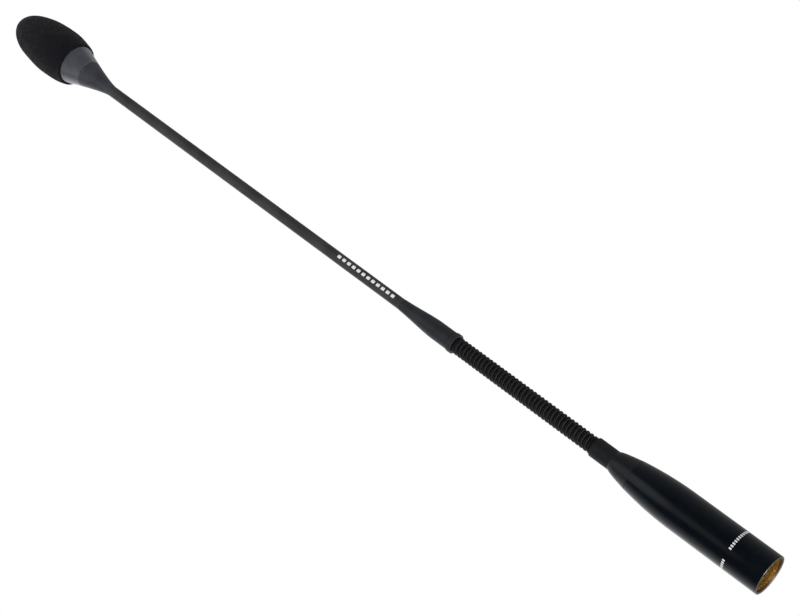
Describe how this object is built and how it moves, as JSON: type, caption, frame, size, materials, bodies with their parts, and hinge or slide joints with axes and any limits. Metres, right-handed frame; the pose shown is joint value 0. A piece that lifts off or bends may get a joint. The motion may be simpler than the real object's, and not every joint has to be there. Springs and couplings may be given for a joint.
{
  "type": "gooseneck podium microphone",
  "caption": "Slender podium microphone: glossy plug barrel, short wound flexible neck, thin rigid stem, flared head with a smoked light ring and an egg-shaped foam windshield.",
  "frame": {"origin": "centre of the plug barrel's open rim, on the long axis", "axes": "+Z along the long axis from the plug towards the windshield; +Y towards the lock screw; +X towards contact pin 2"},
  "size_m": [0.027, 0.027, 0.495],
  "materials": {
    "barrel_lacquer": "gloss black lacquer",
    "gold_plate": "bright gold plating",
    "insert_plastic": "moulded, fine matt",
    "plain_steel": "turned, lightly brushed",
    "contact_spring": "stamped phosphor bronze",
    "lead_sheath": "flexible sheath",
    "circuit_board": "solder mask",
    "capacitor_sleeve": "shrunk sleeve",
    "component_resin": "moulded resin",
    "insulating_film": "heat-shrunk film",
    "cone_lacquer": "gloss black lacquer",
    "collar_black": "matt black",
    "coil_black": "satin black over wound wire",
    "spring_wire": "oiled spring steel",
    "cable_jacket": "matt jacket",
    "cuff_black": "satin black",
    "stem_black": "satin black powder coat",
    "head_black": "satin black powder coat",
    "smoked_ring": "smoked translucent, polished",
    "led_lens": "clear lens",
    "housing_black": "matt black",
    "grille_steel": "blackened",
    "capsule_metal": "drawn, bright",
    "diaphragm_film": "metallised film",
    "insulator_resin": "moulded",
    "gasket_rubber": "soft",
    "foam": "open-cell foam, matt"
  },
  "bodies": {
    "connector": {"connector_barrel": "barrel_lacquer", "contact_sleeve": "gold_plate", "pin_insert": "insert_plastic", "pin_1": "gold_plate", "pin_2": "gold_plate", "pin_3": "gold_plate", "insert_lock_screw": "plain_steel", "shell_contact": "contact_spring", "pin_leads": "lead_sheath", "preamp_board": "circuit_board", "board_capacitors": "capacitor_sleeve", "board_transistors": "component_resin", "board_resistors": "component_resin", "insulating_sleeve": "insulating_film", "nose_cone": "cone_lacquer", "neck_collar": "collar_black", "neck_nut": "plain_steel", "cable_clamp": "insert_plastic", "base_cable": "cable_jacket", "lower_coil_plug": "plain_steel", "outer_coil_1": "coil_black", "inner_spring": "spring_wire", "gooseneck_cable": "cable_jacket"},
    "neck_2": {"outer_coil_2": "coil_black"},
    "neck_3": {"outer_coil_3": "coil_black"},
    "neck_4": {"outer_coil_4": "coil_black"},
    "neck_5": {"outer_coil_5": "coil_black"},
    "neck_6": {"outer_coil_6": "coil_black"},
    "neck_7": {"outer_coil_7": "coil_black"},
    "neck_8": {"outer_coil_8": "coil_black"},
    "neck_9": {"outer_coil_9": "coil_black"},
    "neck_10": {"outer_coil_10": "coil_black"},
    "neck_11": {"outer_coil_11": "coil_black"},
    "neck_12": {"outer_coil_12": "coil_black"},
    "stem": {"outer_coil_13": "coil_black", "upper_coil_plug": "plain_steel", "stem_cuff": "cuff_black", "stem_tube": "stem_black", "stem_cable": "cable_jacket", "head_adapter": "plain_steel", "head_cone": "head_black", "light_ring": "smoked_ring", "ring_light_board": "circuit_board", "ring_leds": "led_lens", "capsule_housing": "housing_black", "capsule_grille": "grille_steel", "grille_ring": "housing_black", "capsule_can": "capsule_metal", "diaphragm": "diaphragm_film", "diaphragm_ring": "contact_spring", "backplate": "contact_spring", "backplate_insulator": "insulator_resin", "capsule_board": "circuit_board", "capsule_transistor": "component_resin", "capsule_gaskets": "gasket_rubber"},
    "windshield": {"foam_windshield": "foam"}
  },
  "joints": [
    {"name": "neck_bend_x_1", "type": "hinge", "parent": "connector", "child": "neck_2", "pos_m": [0, 0, 0.09524], "axis": [1, 0, 0], "range_deg": [-12, 12], "deforming": ["inner_spring", "gooseneck_cable"]},
    {"name": "neck_bend_y_1", "type": "hinge", "parent": "neck_2", "child": "neck_3", "pos_m": [0, 0, 0.10234], "axis": [0, 1, 0], "range_deg": [-12, 12]},
    {"name": "neck_bend_x_2", "type": "hinge", "parent": "neck_3", "child": "neck_4", "pos_m": [0, 0, 0.10945], "axis": [1, 0, 0], "range_deg": [-12, 12]},
    {"name": "neck_bend_y_2", "type": "hinge", "parent": "neck_4", "child": "neck_5", "pos_m": [0, 0, 0.11655], "axis": [0, 1, 0], "range_deg": [-12, 12]},
    {"name": "neck_bend_x_3", "type": "hinge", "parent": "neck_5", "child": "neck_6", "pos_m": [0, 0, 0.12365], "axis": [1, 0, 0], "range_deg": [-12, 12]},
    {"name": "neck_bend_y_3", "type": "hinge", "parent": "neck_6", "child": "neck_7", "pos_m": [0, 0, 0.13075], "axis": [0, 1, 0], "range_deg": [-12, 12]},
    {"name": "neck_bend_x_4", "type": "hinge", "parent": "neck_7", "child": "neck_8", "pos_m": [0, 0, 0.13785], "axis": [1, 0, 0], "range_deg": [-12, 12]},
    {"name": "neck_bend_y_4", "type": "hinge", "parent": "neck_8", "child": "neck_9", "pos_m": [0, 0, 0.14495], "axis": [0, 1, 0], "range_deg": [-12, 12]},
    {"name": "neck_bend_x_5", "type": "hinge", "parent": "neck_9", "child": "neck_10", "pos_m": [0, 0, 0.15205], "axis": [1, 0, 0], "range_deg": [-12, 12]},
    {"name": "neck_bend_y_5", "type": "hinge", "parent": "neck_10", "child": "neck_11", "pos_m": [0, 0, 0.15915], "axis": [0, 1, 0], "range_deg": [-12, 12]},
    {"name": "neck_bend_x_6", "type": "hinge", "parent": "neck_11", "child": "neck_12", "pos_m": [0, 0, 0.16626], "axis": [1, 0, 0], "range_deg": [-12, 12]},
    {"name": "neck_bend_y_6", "type": "hinge", "parent": "neck_12", "child": "stem", "pos_m": [0, 0, 0.17336], "axis": [0, 1, 0], "range_deg": [-12, 12]},
    {"name": "windshield_pull", "type": "slide", "parent": "stem", "child": "windshield", "axis": [0, 0, 1], "range_m": [0, 0.045]}
  ],
  "couplings": [
    {"joint": "neck_bend_x_2", "follows": "neck_bend_x_1", "ratio": 1},
    {"joint": "neck_bend_y_2", "follows": "neck_bend_y_1", "ratio": 1},
    {"joint": "neck_bend_x_3", "follows": "neck_bend_x_1", "ratio": 1},
    {"joint": "neck_bend_y_3", "follows": "neck_bend_y_1", "ratio": 1},
    {"joint": "neck_bend_x_4", "follows": "neck_bend_x_1", "ratio": 1},
    {"joint": "neck_bend_y_4", "follows": "neck_bend_y_1", "ratio": 1},
    {"joint": "neck_bend_x_5", "follows": "neck_bend_x_1", "ratio": 1},
    {"joint": "neck_bend_y_5", "follows": "neck_bend_y_1", "ratio": 1},
    {"joint": "neck_bend_x_6", "follows": "neck_bend_x_1", "ratio": 1},
    {"joint": "neck_bend_y_6", "follows": "neck_bend_y_1", "ratio": 1}
  ]
}
